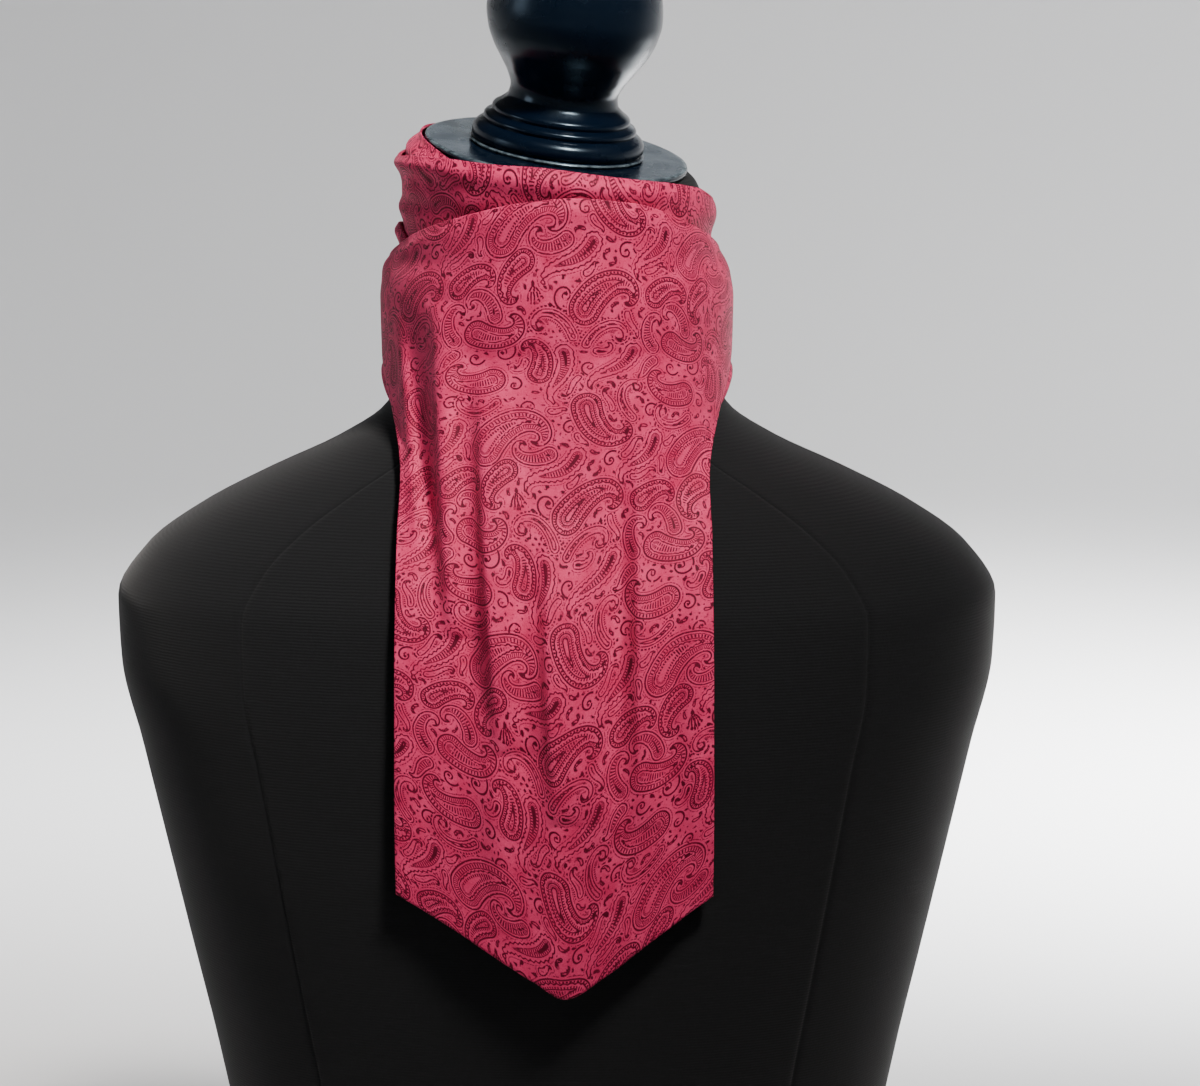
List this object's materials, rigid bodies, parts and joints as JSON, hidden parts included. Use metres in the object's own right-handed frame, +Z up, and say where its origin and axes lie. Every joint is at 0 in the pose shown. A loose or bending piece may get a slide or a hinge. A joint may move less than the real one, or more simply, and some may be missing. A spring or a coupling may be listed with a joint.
{
  "type": "cravat on dress form",
  "caption": "Day cravat with a pleated neckband and two pointed hanging ends, tied on a limbless table-top dress form with a turned neck cap and finial.",
  "frame": {"origin": "middle of the underside of the form's board, at the bottom centre of the whole object's box", "axes": "+Z up, -Y is the front that the cravat hangs on, +X is the viewer's right"},
  "size_m": [0.368, 0.2264, 0.6161],
  "materials": {
    "cloth": "rose cloth with a fine tone-on-tone paisley in dark crimson, soft sheen",
    "lacquer": "turned wood in black gloss lacquer",
    "jersey": "black knitted jersey cover, matte",
    "board": "black painted board"
  },
  "bodies": {
    "root": {"form_torso": "jersey", "form_board": "board", "neck_cap": "lacquer", "finial": "lacquer", "neckband_inner": "cloth", "neckband_outer": "cloth", "side_wrap": "cloth", "front_blade": "cloth", "under_blade": "cloth"}
  },
  "joints": []
}
